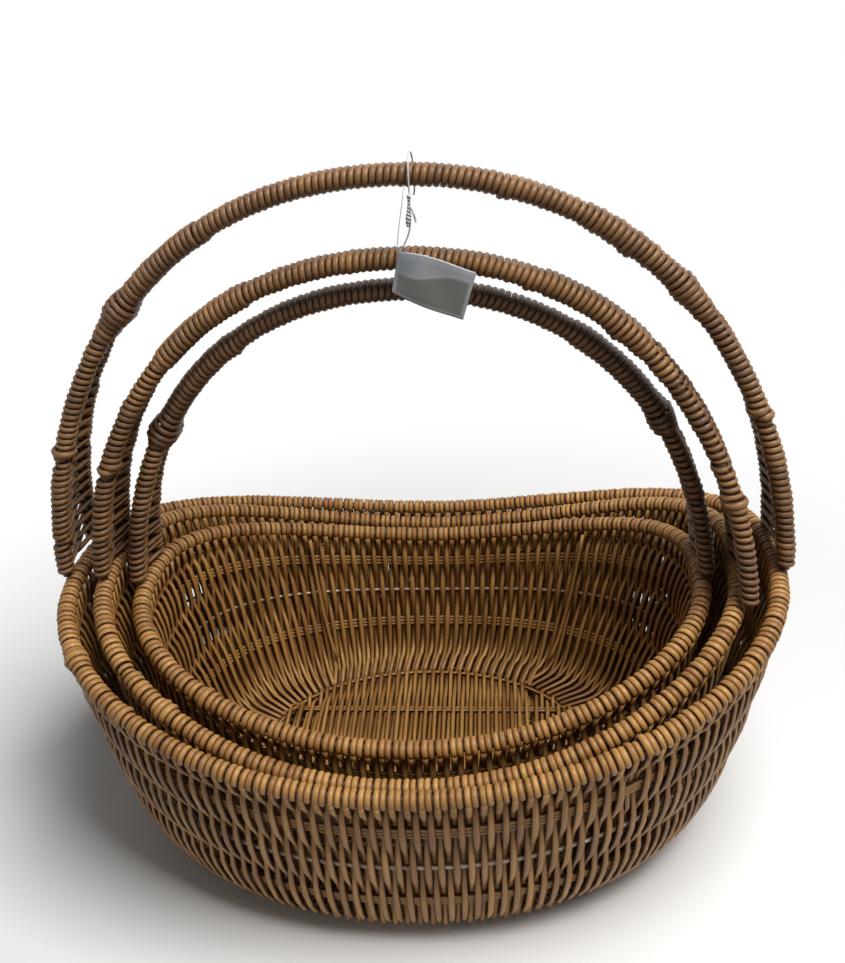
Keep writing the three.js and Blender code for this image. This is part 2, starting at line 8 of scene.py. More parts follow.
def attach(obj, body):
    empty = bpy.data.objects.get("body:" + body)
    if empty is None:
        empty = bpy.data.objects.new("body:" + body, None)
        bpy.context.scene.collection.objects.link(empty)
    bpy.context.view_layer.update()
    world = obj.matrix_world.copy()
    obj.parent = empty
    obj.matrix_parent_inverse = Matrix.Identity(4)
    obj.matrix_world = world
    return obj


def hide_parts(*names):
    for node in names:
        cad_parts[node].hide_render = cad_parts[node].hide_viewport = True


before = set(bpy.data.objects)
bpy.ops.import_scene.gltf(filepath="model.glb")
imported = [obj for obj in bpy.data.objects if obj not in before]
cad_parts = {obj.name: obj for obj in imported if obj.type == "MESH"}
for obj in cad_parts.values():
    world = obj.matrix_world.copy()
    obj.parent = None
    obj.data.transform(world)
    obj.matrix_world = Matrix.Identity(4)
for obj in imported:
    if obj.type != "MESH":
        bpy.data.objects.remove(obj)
bpy.ops.object.select_all(action="DESELECT")
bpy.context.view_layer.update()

# The camera. It stands a little right of the middle, about 0.6 m away, and looks down into
# the nest, with the long side of the picture upright.
picture_height = 963
focal_pixels = 1025.98
film_side = 36
yaw, pitch, roll = -0.1283, 0.4908, -0.0806
bpy.ops.object.camera_add(location=(0.07167, -0.49903, 0.48379))
camera = bpy.context.object
ahead = Vector((math.sin(yaw) * math.cos(pitch), math.cos(yaw) * math.cos(pitch),
                -math.sin(pitch)))
level_right = Vector((math.cos(yaw), -math.sin(yaw), 0))
level_up = level_right.cross(ahead)
picture_right = math.cos(roll) * level_right + math.sin(roll) * level_up
picture_up = math.cos(roll) * level_up - math.sin(roll) * level_right
turn = Matrix((picture_right, picture_up, -ahead)).transposed()
camera.rotation_euler = turn.to_euler()
camera.data.sensor_width = film_side
camera.data.lens = focal_pixels / picture_height * film_side
bpy.context.scene.camera = camera

# The tag's thread. It is fine nylon, laid once round the grip of the large handle, knotted
# under it and led on to the upper left corner of the sleeve.
grip_centre = Vector((0, 0, 0.3825))
thread_thickness = 0.0008


def hung_lines(name, lines, thickness):
    """Round lines hung from the grip of the large handle.

    A point is x, y and z in mm from the grip's centre and a share of the thickness."""
    curve = bpy.data.curves.new(name, "CURVE")
    curve.dimensions = "3D"
    curve.bevel_depth = thickness / 2
    curve.bevel_resolution = 2
    curve.resolution_u = 4
    curve.use_fill_caps = True
    for line in lines:
        spline = curve.splines.new("BEZIER")
        spline.bezier_points.add(len(line) - 1)
        for stop, (x, y, z, share) in zip(spline.bezier_points, line):
            stop.co = grip_centre + Vector((x, y, z)) / 1000
            stop.radius = share
            stop.handle_left_type = stop.handle_right_type = "AUTO"
    piece = bpy.data.objects.new(name, curve)
    bpy.context.collection.objects.link(piece)
    return piece


def add_node(tree, kind, inputs=(), **settings):
    """A shader node with its settings and inputs; an input that is a socket is linked."""
    node = tree.nodes.new(kind)
    for key, value in settings.items():
        setattr(node, key, value)
    for key, value in dict(inputs).items():
        if isinstance(value, bpy.types.NodeSocket):
            tree.links.new(value, node.inputs[key])
        else:
            node.inputs[key].default_value = value
    return node


def node_group(name, inputs, outputs):
    """An empty node group, what it is given and what it gives."""
    group = bpy.data.node_groups.new(name, "ShaderNodeTree")
    for way, sockets in (("INPUT", inputs), ("OUTPUT", outputs)):
        for label, kind in sockets.items():
            group.interface.new_socket(label, in_out=way, socket_type="NodeSocket" + kind)
    given = group.nodes.new("NodeGroupInput").outputs
    return group, given, group.nodes.new("NodeGroupOutput").inputs


def mixed_colour(tree, share, first, second, **settings):
    """Two colours mixed by a share, as the colour socket of a Mix node."""
    mix = add_node(tree, "ShaderNodeMix", {0: share, 6: first, 7: second}, data_type="RGBA",
                   **settings)
    return mix.outputs[2]


surface_outputs = {"Colour": "Color", "Roughness": "Float", "Normal": "Vector"}
mottle, given, result = node_group("mottle", {
    "Colour": "Color", "Stain": "Color", "Scale": "Float", "Gloss": "Float", "Relief": "Float",
}, surface_outputs)
place = add_node(mottle, "ShaderNodeTexCoord").outputs["Object"]
noise = add_node(mottle, "ShaderNodeTexNoise", {
    "Vector": place, "Scale": given["Scale"], "Detail": 4.0, "Roughness": 0.6,
}).outputs["Fac"]
stained = add_node(mottle, "ShaderNodeMapRange", {
    "Value": noise, "From Min": 0.4, "From Max": 0.66,
}).outputs["Result"]
mixed = mixed_colour(mottle, stained, given["Colour"], given["Stain"])
duller = add_node(mottle, "ShaderNodeMath", {0: stained, 1: 0.2, 2: given["Gloss"]},
                  operation="MULTIPLY_ADD")
relief = add_node(mottle, "ShaderNodeBump", {
    "Strength": 0.4, "Distance": given["Relief"], "Height": noise})
mottle.links.new(mixed, result["Colour"])
mottle.links.new(duller.outputs[0], result["Roughness"])
mottle.links.new(relief.outputs["Normal"], result["Normal"])


def grouped_material(name, group, inputs, metallic=0.0, coat=0.0, mirror=0.5):
    """A material whose colour, roughness and normal come from a node group."""
    material = bpy.data.materials.new(name)
    material.use_nodes = True
    tree = material.node_tree
    shader = tree.nodes["Principled BSDF"]
    shader.inputs["Metallic"].default_value = metallic
    shader.inputs["Coat Weight"].default_value = coat
    shader.inputs["Specular IOR Level"].default_value = mirror
    effect = add_node(tree, "ShaderNodeGroup", node_tree=group)
    for key, value in inputs.items():
        effect.inputs[key].default_value = value
    for label, socket in (("Colour", "Base Color"), ("Roughness", "Roughness"),
                          ("Normal", "Normal")):
        tree.links.new(effect.outputs[label], shader.inputs[socket])
    return material


thread_route = [
    (14.6, -4.5, -8.9), (14.4, 0, -10), (14.2, 5.6, -8.3), (14, 9.2, -4), (13.9, 10, 1),
    (13.8, 8.4, 5.6), (13.7, 4.8, 8.9), (13.6, 0, 10), (13.5, -4.8, 8.9), (13.5, -8.4, 5.6),
    (13.4, -10, 1), (13.4, -10.4, -5), (13.3, -10.4, -12), (13.1, -10.4, -19), (12, -10.4, -25),
    (9.6, -10.4, -30.5), (6.9, -10.4, -34.6),
]
tag_thread = hung_lines("hanging_thread", [[(*p, 1.0) for p in thread_route]], thread_thickness)
thread_finish = grouped_material("nylon_thread", mottle, {
    "Colour": (0.62, 0.60, 0.60, 1), "Stain": (0.42, 0.41, 0.44, 1), "Scale": 900.0, "Gloss": 0.35,
    "Relief": 0.0001})
tag_thread.data.materials.append(thread_finish)
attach(tag_thread, "hang_tag")
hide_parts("tag_thread")

# The knot. Both ends of the thread are twisted into a tail that splays below, and a second,
# thinner run of thread goes from the knot to the sleeve.
tail_top = (13.4, -12.1, -7)
tail_length = 15.5
tail_slant = 1.6
tail_thickness = 0.001
twist_pitch = 3.4
twist_reach = 0.52
way_down = np.linspace(0, 1, 34)
tail_width = np.interp(way_down, [0, 0.07, 0.22, 0.45, 0.75, 0.93, 1],
                       [0.5, 1.25, 0.62, 0.8, 1.4, 1.15, 0.6])
knot_lines = []
for half_turn in (0, math.pi):
    round_it = way_down * tail_length / twist_pitch * 2 * np.pi + half_turn
    knot_lines.append(list(zip(
        tail_top[0] - tail_slant * way_down + twist_reach * tail_width * np.cos(round_it),
        tail_top[1] + twist_reach * tail_width * np.sin(round_it),
        tail_top[2] - tail_length * way_down,
        tail_width)))
splayed_end = [(12.9, -12, -12, 0.5), (14.2, -12.3, -14, 0.9), (15.1, -12.3, -17, 1.3),
               (15.8, -12.1, -20.6, 0.9)]
second_run = [(10.5, -6.3, -4.2, 0.42), (10.2, -9.4, -7.5, 0.42), (8.6, -10.7, -16, 0.42),
              (6.4, -10.8, -27, 0.42), (5.2, -10.9, -35.5, 0.42)]
tag_tail = hung_lines("knotted_tail", knot_lines + [splayed_end, second_run], tail_thickness)
tail_finish = grouped_material("knotted_thread", mottle, {
    "Colour": (0.60, 0.58, 0.64, 1), "Stain": (0.38, 0.37, 0.42, 1), "Scale": 700.0, "Gloss": 0.4,
    "Relief": 0.0002})
tag_tail.data.materials.append(tail_finish)
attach(tag_tail, "hang_tag")
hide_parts("tag_knot")

# The sleeve. Two sheets of stiff clear film, welded along their edges, hold a grey insert that
# is cut in a wave. It hangs by a corner and bows a little. Its sizes are in mm, like the thread's.
sleeve_length, sleeve_height = 38, 22.5
low_left, low_right = np.array([1.0, -54.6]), np.array([35.6, -70.6])
high_left, high_right = np.array([6.0, -34.7]), np.array([43.4, -46.9])
upper_bow, lower_bow = 2.0, 1.3
weld_width, insert_margin = 0.9, 1.4
film_half, air_half, insert_half = 0.09, 0.22, 0.14
sleeve_depth = -11.0
columns, rows = 49, 29
u, v = np.meshgrid(np.linspace(0, 1, columns), np.linspace(0, 1, rows))
flat = ((1 - v)[..., None] * ((1 - u)[..., None] * low_left + u[..., None] * low_right)
        + v[..., None] * ((1 - u)[..., None] * high_left + u[..., None] * high_right))
flat[..., 1] += (v * upper_bow * np.sin(np.pi * u ** 0.8)
                 - (1 - v) * lower_bow * np.sin(np.pi * u ** 0.7))
insert_top = (0.60 - 0.10 * np.sin(3.4 * u + 0.5) * np.exp(-2 * u) + 0.14 * u
              - 0.06 * np.sin(6 * u))
edge = np.minimum(np.minimum(u, 1 - u) * sleeve_length, np.minimum(v, 1 - v) * sleeve_height)
insert = (np.clip((insert_top - v) / 0.035, 0, 1)
          * np.clip((edge - insert_margin) / 0.5, 0, 1))
half_thick = film_half + air_half * np.clip((edge - weld_width) / 1.6, 0, 1) + insert_half * insert
bowed = sleeve_depth - 0.8 * np.sin(np.pi * u) * (0.4 + 0.6 * v) + 0.25 * np.sin(9 * u + 4 * v)
sheets = [np.stack([flat[..., 0], bowed + side * half_thick, flat[..., 1]], -1).reshape(-1, 3)
          for side in (-1, 1)]
corner_points = (np.concatenate(sheets) / 1000 + np.array(grip_centre)).tolist()
sleeve_faces = []
for side in (0, 1):
    for row in range(rows - 1):
        for column in range(columns - 1):
            a = side * columns * rows + row * columns + column
            face = (a, a + 1, a + columns + 1, a + columns)
            sleeve_faces.append(face[::-1] if side else face)
border = (list(range(columns)) + [row * columns + columns - 1 for row in range(1, rows)]
          + [(rows - 1) * columns + column for column in range(columns - 2, -1, -1)]
          + [row * columns for row in range(rows - 2, 0, -1)])
for a, b in zip(border, border[1:] + border[:1]):
    sleeve_faces.append((b, a, a + columns * rows, b + columns * rows))
sleeve_mesh = bpy.data.meshes.new("clear_sleeve")
sleeve_mesh.from_pydata(corner_points, [], sleeve_faces)
weld = np.clip((1.5 - edge) / 0.6, 0, 1)
# A painted highlight: a lighter diagonal band across the film stands for the glint on it, and the
# welded edges are lighter as well.
painted_glint = (np.clip((u - 0.06 - 0.42 * (v - 0.45)) / 0.12, 0, 1)
         - 0.6 * np.clip((v - 0.8) / 0.2, 0, 1))
masks = {"insert": insert, "painted_glint_and_weld": np.clip(0.75 * painted_glint + 0.6 * weld, 0, 1)}
for mask, shares in masks.items():
    sleeve_mesh.attributes.new(mask, "FLOAT", "POINT").data.foreach_set(
        "value", np.tile(shares.ravel(), 2).astype(np.float32))
sleeve_mesh.shade_smooth()
tag_sleeve = bpy.data.objects.new("clear_sleeve", sleeve_mesh)
bpy.context.collection.objects.link(tag_sleeve)
sleeve_finish = grouped_material("clear_film", mottle, {
    "Colour": (0.20, 0.22, 0.26, 1), "Stain": (0.24, 0.25, 0.285, 1), "Scale": 120.0, "Gloss": 0.28,
    "Relief": 0.0002}, coat=0.5)
# The lighter colour of the painted glint and of the welds on the film.
glint_and_weld_colour = (0.33, 0.33, 0.34, 1)
insert_colour = (0.112, 0.114, 0.102, 1)
tree = sleeve_finish.node_tree
shader = tree.nodes["Principled BSDF"]
film_colour = shader.inputs["Base Color"].links[0].from_socket
glint_and_weld_here = add_node(tree, "ShaderNodeAttribute", attribute_name="painted_glint_and_weld").outputs["Fac"]
insert_here = add_node(tree, "ShaderNodeAttribute", attribute_name="insert").outputs["Fac"]
film_seen = mixed_colour(tree, glint_and_weld_here, film_colour, glint_and_weld_colour)
sleeve_seen = mixed_colour(tree, insert_here, film_seen, insert_colour)
tree.links.new(sleeve_seen, shader.inputs["Base Color"])
tag_sleeve.data.materials.append(sleeve_finish)
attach(tag_sleeve, "hang_tag")
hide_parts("tag_sleeve")

# The bottoms of the three baskets. Canes run from front to back over and under a ring and two
# long wires or canes, and most of them are the ends of the wall's own strands.

# Sizes in metres. merge is the share of the arch's height at which its rods meet, taper is how
# much smaller the foot is than the rim, and feet_ahead is how far the left foot, the top and
# the right foot of the handle stand in front of the middle.
baskets = {
    "large": dict(length=0.400, width=0.283, depth=0.117, end_rise=0.047, arch=0.227,
                  overhang=0.0025, spread=0.043, merge=0.76, taper_length=0.111,
                  taper_width=0.062, feet_ahead=(0, 0, 0), ground=0.0),
    "middle": dict(length=0.359, width=0.2565, depth=0.1016, end_rise=0.055, arch=0.184,
                   overhang=-0.0015, spread=0.040, merge=0.84, taper_length=0.111,
                   taper_width=0.062, feet_ahead=(0.0075, 0, 0.034), ground=0.0095),
    "small": dict(length=0.322, width=0.2115, depth=0.0966, end_rise=0.0387, arch=0.177,
                  overhang=0.002, spread=0.034, merge=0.64, taper_length=0.099,
                  taper_width=0.050, feet_ahead=(0, -0.009, -0.003), ground=0.019),
}
rim_squareness = 2.38
bottom_squareness = 2.05
rim_sweep = 1.92
wall_flare = 0.28
foot_lean = 0.007
foot_height = 0.00465
foot_bend = 0.006
strand_thickness = 0.0029
strand_pitch = 0.00368
weave_reach = 0.0027
ring_inset = 0.010
joined_share = 0.62
chance = np.random.default_rng(7)


def unit(vectors):
    return vectors / np.linalg.norm(vectors, axis=-1, keepdims=True)


def outline_reach(squareness, angle):
    """How far a superellipse of half sizes 1 reaches at an angle."""
    c, s = np.abs(np.cos(angle)), np.abs(np.sin(angle))
    return (c ** squareness + s ** squareness) ** (-1 / squareness)


def rim_height(basket, angle):
    endward = np.abs(outline_reach(rim_squareness, angle) * np.cos(angle))
    return basket["depth"] + basket["end_rise"] * endward ** rim_sweep


def half_sizes(basket, level):
    closed = 1 - np.maximum(level, 0) ** wall_flare
    return ((basket["length"] - basket["taper_length"] * closed) / 2,
            (basket["width"] - basket["taper_width"] * closed) / 2)


def lean(basket, level):
    return -foot_lean * basket["length"] / baskets["large"]["length"] * (1 - level)


def wall_point(basket, level, angle):
    """The middle surface of the wall: level 0 is the foot and level 1 the rim."""
    half_length, half_width = half_sizes(basket, level)
    squareness = bottom_squareness + (rim_squareness - bottom_squareness) * level
    reach = outline_reach(squareness, angle)
    x = half_length * reach * np.cos(angle) + lean(basket, level)
    y = half_width * reach * np.sin(angle)
    z = foot_height + (rim_height(basket, angle) - foot_height) * level
    return np.stack([x, y, z + basket["ground"]], -1)


def wall_normal(basket, level, angle):
    step = 0.004
    lower = wall_point(basket, np.maximum(level - step, 0), angle)
    rise = wall_point(basket, level + step, angle) - lower
    along = wall_point(basket, level, angle + step) - wall_point(basket, level, angle - step)
    normal = unit(np.cross(along, rise))
    flat = np.clip(1 - level / foot_bend, 0, 1)[..., None]
    return unit(normal * (1 - flat) + np.array([0, 0, -1.0]) * flat)


def even_angles(basket, level, shares):
    """Angles at shares of the way round an outline, from its right end."""
    fine = np.linspace(0, 2 * np.pi, 8 * 360 + 1)
    points = wall_point(basket, level, fine)
    lengths = np.concatenate([[0], np.cumsum(np.linalg.norm(np.diff(points, axis=0), axis=1))])
    return np.interp(shares % 1, lengths / lengths[-1], fine), lengths[-1]


def canes(name, paths, outs, tones, width, thickness, sides=6, sizes=1.0, closed=False):
    """Canes swept along paths, each thin in the direction of its outs.

    Tones, widths and sizes may differ by stop. The UV map runs 20 units per metre of cane."""
    paths = np.asarray(paths, float)
    outs = np.broadcast_to(np.asarray(outs, float), paths.shape)
    strands, stops = paths.shape[:2]
    if closed:
        along = unit(np.roll(paths, -1, 1) - np.roll(paths, 1, 1))
    else:
        along = unit(np.gradient(paths, axis=1))
    outs = unit(outs - (outs * along).sum(-1, keepdims=True) * along)
    across = np.cross(outs, along)
    round_angles = 2 * np.pi * (np.arange(sides) + 0.5) / sides
    size = np.broadcast_to(sizes, (strands, stops))[..., None, None]
    wide = np.broadcast_to(width, (strands, stops))[..., None, None] * size
    rings = (paths[:, :, None] + across[:, :, None] * (np.cos(round_angles)[:, None] * wide / 2)
             + outs[:, :, None] * (np.sin(round_angles)[:, None] * thickness / 2) * size)
    spans = stops if closed else stops - 1
    s, i, j = np.meshgrid(np.arange(strands), np.arange(spans), np.arange(sides), indexing="ij")

    def at(i, j):
        return (s * stops + i % stops) * sides + j % sides

    quads = np.stack([at(i, j), at(i, j + 1), at(i + 1, j + 1), at(i + 1, j)], -1).reshape(-1, 4)
    faces = quads.tolist()
    lengths = np.linalg.norm(np.diff(paths, axis=1, append=paths[:, :1]), axis=-1)
    travelled = np.concatenate([np.zeros((strands, 1)), np.cumsum(lengths, axis=1)], 1)
    travelled += chance.random((strands, 1)) * 5  # so that no two canes show the same grain
    u = np.stack([travelled[s, i], travelled[s, i], travelled[s, i + 1], travelled[s, i + 1]], -1)
    v = (np.stack([j, j + 1, j + 1, j], -1) + 0.5) / sides
    uvs = np.stack([u * 20, v], -1).reshape(-1, 2)
    if not closed:
        for k in range(strands):
            first = k * stops * sides
            last = first + (stops - 1) * sides
            faces.append(list(range(first + sides - 1, first - 1, -1)))
            faces.append(list(range(last, last + sides)))
        uvs = np.concatenate([uvs, np.full((strands * 2 * sides, 2), 0.25)])
    mesh = bpy.data.meshes.new(name)
    mesh.from_pydata(rings.reshape(-1, 3).tolist(), [], faces)
    mesh.uv_layers.new(name="lengthwise").data.foreach_set("uv", uvs.astype(np.float32).ravel())
    tone = np.broadcast_to(np.asarray(tones, np.float32).reshape(strands, -1), (strands, stops))
    mesh.attributes.new("tone", "FLOAT", "POINT").data.foreach_set("value", np.repeat(tone, sides))
    mesh.shade_smooth()
    piece = bpy.data.objects.new(name, mesh)
    bpy.context.collection.objects.link(piece)
    return piece


# The cane's surface: streaks along each cane, tones from cane to cane, larger patches, and painted
# shade on the flanks where canes touch.
cane_grain_and_shade, given, result = node_group("cane_grain_and_shade", {
    "Pale": "Color", "Deep": "Color", "Painted Shade": "Color",
}, surface_outputs)
lengthwise = add_node(cane_grain_and_shade, "ShaderNodeUVMap", uv_map="lengthwise").outputs["UV"]
stretched = add_node(cane_grain_and_shade, "ShaderNodeMapping", {
    "Vector": lengthwise, "Scale": (1.2, 5, 1),
}).outputs["Vector"]
streaks = add_node(cane_grain_and_shade, "ShaderNodeTexNoise", {
    "Vector": stretched, "Scale": 2.2, "Detail": 3.0, "Roughness": 0.6,
}).outputs["Fac"]
place = add_node(cane_grain_and_shade, "ShaderNodeTexCoord").outputs["Object"]
patches = add_node(cane_grain_and_shade, "ShaderNodeTexNoise", {
    "Vector": place, "Scale": 30.0, "Detail": 3.0,
}).outputs["Fac"]
patches = add_node(cane_grain_and_shade, "ShaderNodeMapRange", {
    "Value": patches, "From Min": 0.3, "From Max": 0.7,
}).outputs["Result"]
tone = add_node(cane_grain_and_shade, "ShaderNodeAttribute", attribute_name="tone").outputs["Fac"]
paleness = add_node(cane_grain_and_shade, "ShaderNodeMix", {0: 0.45, 2: tone, 3: patches}).outputs[0]
colour = mixed_colour(cane_grain_and_shade, paleness, given["Deep"], given["Pale"])
streaked = add_node(cane_grain_and_shade, "ShaderNodeMapRange", {
    "Value": streaks, "From Min": 0.45, "From Max": 0.72, "To Max": 0.85,
}).outputs["Result"]
streak_colour = (0.60, 0.48, 0.38, 1)
colour = mixed_colour(cane_grain_and_shade, streaked, colour, streak_colour, blend_type="MULTIPLY")
around_it = add_node(cane_grain_and_shade, "ShaderNodeSeparateXYZ", {0: lengthwise}).outputs["Y"]
height = add_node(cane_grain_and_shade, "ShaderNodeMath", {0: around_it, 1: 2 * math.pi},
                  operation="MULTIPLY").outputs[0]
height = add_node(cane_grain_and_shade, "ShaderNodeMath", {0: height}, operation="SINE").outputs[0]
height = add_node(cane_grain_and_shade, "ShaderNodeMath", {0: height}, operation="ABSOLUTE").outputs[0]
# Painted shade: the flanks of each cane, where it lies against its neighbours, are darkened towards
# the shade colour.
painted_flank_shade = add_node(cane_grain_and_shade, "ShaderNodeMapRange", {
    "Value": height, "From Min": 0.9, "From Max": 0.3,
}, interpolation_type="SMOOTHSTEP").outputs["Result"]
colour = mixed_colour(cane_grain_and_shade, painted_flank_shade, colour, given["Painted Shade"], blend_type="MULTIPLY")
rough = add_node(cane_grain_and_shade, "ShaderNodeMapRange", {
    "Value": streaks, "To Min": 0.34, "To Max": 0.62})
relief = add_node(cane_grain_and_shade, "ShaderNodeBump", {
    "Strength": 0.6, "Distance": 0.0004, "Height": streaks})
cane_grain_and_shade.links.new(colour, result["Colour"])
cane_grain_and_shade.links.new(rough.outputs["Result"], result["Roughness"])
cane_grain_and_shade.links.new(relief.outputs["Normal"], result["Normal"])

cane_finish = grouped_material("golden_cane", cane_grain_and_shade, {
    "Pale": (0.52, 0.28, 0.082, 1), "Deep": (0.22, 0.092, 0.024, 1),
    "Painted Shade": (0.12, 0.07, 0.035, 1)}, coat=0.05, mirror=0.35)
wire_finish = grouped_material("tinned_wire", mottle, {
    "Colour": (0.46, 0.37, 0.28, 1), "Stain": (0.30, 0.19, 0.11, 1), "Scale": 90.0, "Gloss": 0.34,
    "Relief": 0.0001}, metallic=0.35)


def strand_layout(basket):
    """Angles at which the strands leave the rim and reach the foot, and alternating signs.

    The turns of the rim lie in pairs, so every second strand stands nearer its neighbour. The
    feet crowd towards the ends of the bottom, and the whole weave is twisted a little."""
    perimeter = even_angles(basket, 1.0, np.array([0.0]))[1]
    count = 2 * round(perimeter / strand_pitch / 2)
    share = (np.arange(count) + 0.5) / count
    signs = np.where(np.arange(count) % 2 == 0, 1.0, -1.0)
    pairing, quarter, crowding, twist = 0.055, 0.25, 0.25, 0.0035
    rim_angles = even_angles(basket, 1.0, share + pairing * signs / count)[0]
    from_flank = (share % 0.5) - quarter
    endward = np.abs(from_flank) / quarter
    crowded = np.sign(from_flank) * quarter * (endward + crowding * endward * (1 - endward))
    foot_angles = even_angles(basket, 0.0, share - from_flank + crowded + twist)[0]
    return rim_angles, foot_angles, signs


def joined_strands(basket):
    """Pairs of front and back strands that meet under the basket as one cane."""
    _, foot_angles, signs = strand_layout(basket)
    feet = wall_point(basket, 0.0, foot_angles)
    reach = joined_share * half_sizes(basket, 0.0)[0]
    front = np.nonzero((feet[:, 1] < 0) & (np.abs(feet[:, 0] - lean(basket, 0)) < reach))[0]
    return front, len(signs) - 1 - front, feet, signs


def ring_width(basket, x):
    """Half width of the bottom ring at a place along the basket."""
    half_length, half_width = (h - ring_inset for h in half_sizes(basket, 0.0))
    share = np.clip(np.abs(x - lean(basket, 0)) / half_length, 0, 0.999)
    return half_width * (1 - share ** bottom_squareness) ** (1 / bottom_squareness)


bottom_wires = {"front": -0.032, "back": 0.032}
wire_thickness = 0.0021
ring_thickness = 0.0023
ring_stops = 96
floor_cane_width = 0.0030
floor_roundness = 0.7
filler_pitch = 0.0036
end_gap = 0.003
back_cane_width, back_canes_apart = 0.0022, 0.0024
straight_up = np.array([0, 0, 1.0])
for size, basket in baskets.items():
    body = size + "_basket"
    front, back, feet, signs = joined_strands(basket)
    start_x, end_x = feet[front, 0], feet[back, 0]
    cane_signs = signs[front]
    half_length = half_sizes(basket, 0.0)[0] - ring_inset - end_gap
    for end in (-1, 1):
        last = (start_x if end > 0 else -start_x).max() * end
        room = half_length - abs(last - lean(basket, 0))
        extra = int(room / filler_pitch)
        steps = last + end * filler_pitch * (np.arange(extra) + 1)
        start_x = np.concatenate([start_x, steps])
        end_x = np.concatenate([end_x, steps])
        cane_signs = np.concatenate([cane_signs, np.where(np.arange(extra) % 2, 1.0, -1.0)])
    crossings = [4, 5, 6, 7]
    phase = np.linspace(4, 7, 13)
    marks = np.stack([-ring_width(basket, start_x), np.full_like(start_x, bottom_wires["front"]),
                      np.full_like(start_x, bottom_wires["back"]), ring_width(basket, end_x)], -1)
    y = np.stack([np.interp(phase, crossings, m) for m in marks])
    share = (y - y[:, :1]) / (y[:, -1:] - y[:, :1])
    x = start_x[:, None] + (end_x - start_x)[:, None] * share
    wave = np.sign(np.cos(np.pi * phase)) * np.abs(np.cos(np.pi * phase)) ** floor_roundness
    z = basket["ground"] + foot_height - weave_reach * cane_signs[:, None] * wave
    paths = np.stack([x, y, z], -1)
    tones = chance.random(len(paths))
    woven_bottom = canes(size + "_woven_bottom", paths, straight_up, tones, floor_cane_width,
                         strand_thickness)
    woven_bottom.data.materials.append(cane_finish)
    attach(woven_bottom, body)
    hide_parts(size + "_bottom_weave")

    around = np.linspace(0, 2 * np.pi, ring_stops + 1)[:-1]
    reach = outline_reach(bottom_squareness, around)
    half_length, half_width = (h - ring_inset for h in half_sizes(basket, 0.0))
    ring_path = np.stack([half_length * reach * np.cos(around) + lean(basket, 0),
                          half_width * reach * np.sin(around),
                          np.full_like(around, basket["ground"] + foot_height)], -1)
    ring = canes(size + "_foot_ring", ring_path[None], straight_up, [0.8], ring_thickness,
                 ring_thickness, sides=8, closed=True)
    ring.data.materials.append(cane_finish)
    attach(ring, body)
    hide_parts(size + "_bottom_ring")
    for side, y in bottom_wires.items():
        share = (abs(y) / half_width) ** bottom_squareness
        reach = half_length * (1 - share) ** (1 / bottom_squareness) - end_gap
        x = np.linspace(-reach, reach, 14) + lean(basket, 0)
        z = np.full_like(x, basket["ground"] + foot_height)
        line = np.stack([x, np.full_like(x, y), z], -1)
        if side == "front":
            wire = canes(size + "_floor_wire_front", line[None], straight_up, [0.5],
                         wire_thickness, wire_thickness, sides=8)
            wire.data.materials.append(wire_finish)
        else:
            apart = np.array([0, back_canes_apart / 2, 0])
            wire = canes(size + "_floor_canes_back", [line - apart, line + apart], straight_up,
                         [0.7, 0.5], back_cane_width, wire_thickness, sides=8)
            wire.data.materials.append(cane_finish)
        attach(wire, body)
        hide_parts(f"{size}_bottom_{side}_wire")

# The hoops and uprights of the wall. The upper and the lower hoop are three thin canes each, the
# middle one is a bare wire, and four straight canes stand against the inside of the weave.
hoop_levels = {"lower": 0.28, "middle": 0.54, "upper": 0.785}
hoop_cane_width, hoop_cane_thickness = 0.0024, 0.0022
hoop_canes_apart = 0.0023
upright_places = {"left": 0.54, "right": 0.64}
upright_width, upright_thickness = 0.0028, 0.0024
upright_inset = 0.0056
round_stops = 120
for size, basket in baskets.items():
    body = size + "_basket"
    around = even_angles(basket, 1.0, np.arange(round_stops) / round_stops)[0]
    for hoop, level in hoop_levels.items():
        line = wall_point(basket, level, around)
        outs = wall_normal(basket, level, around)
        if hoop == "middle":
            piece = canes(f"{size}_{hoop}_hoop_wire", line[None], outs, [0.5],
                          wire_thickness, wire_thickness, sides=8, closed=True)
            piece.data.materials.append(wire_finish)
        else:
            apart = unit(np.cross(np.roll(line, -1, 0) - line, outs)) * hoop_canes_apart
            piece = canes(f"{size}_{hoop}_hoop_canes", [line - apart, line, line + apart], outs,
                          [0.85, 1, 0.9], hoop_cane_width, hoop_cane_thickness, sides=8,
                          closed=True)
            piece.data.materials.append(cane_finish)
        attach(piece, body)
        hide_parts(f"{size}_{hoop}_hoop")
    for end, end_side in (("left", -1), ("right", 1)):
        for face, face_side in (("front", -1), ("back", 1)):
            sideways = (1 - upright_places[end] ** rim_squareness) ** (1 / rim_squareness)
            angle = math.atan2(face_side * sideways, end_side * upright_places[end])
            levels = np.linspace(0.06, 0.95, 12)
            angles = np.full_like(levels, angle)
            outs = wall_normal(basket, levels, angles)
            line = wall_point(basket, levels, angles) - outs * upright_inset
            upright = canes(f"{size}_{face}_{end}_upright", line[None], outs, [0.9],
                            upright_width, upright_thickness, sides=8)
            upright.data.materials.append(cane_finish)
            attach(upright, body)
            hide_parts(f"{size}_{face}_{end}_rib")

# The woven wall. Each strand leaves the rim, passes by turns outside and inside the three hoops,
# bends under at the foot and ends on the bottom ring.
wrap_radius = 0.0040
wrap_width = 0.0037
wrap_thickness = 0.0027
leave_degrees = -25.0
wall_roundness = 0.65
looseness = 0.12
strand_drift = 0.0010
strand_fill = 1.12
strand_widths = (0.0032, 0.0052)
slimmest, hoop_swell, tucked_swell = 0.82, 0.24, 0.95
bare_strand, bare_from = 263, 0.7  # the strand that bares a stretch of the large upper hoop


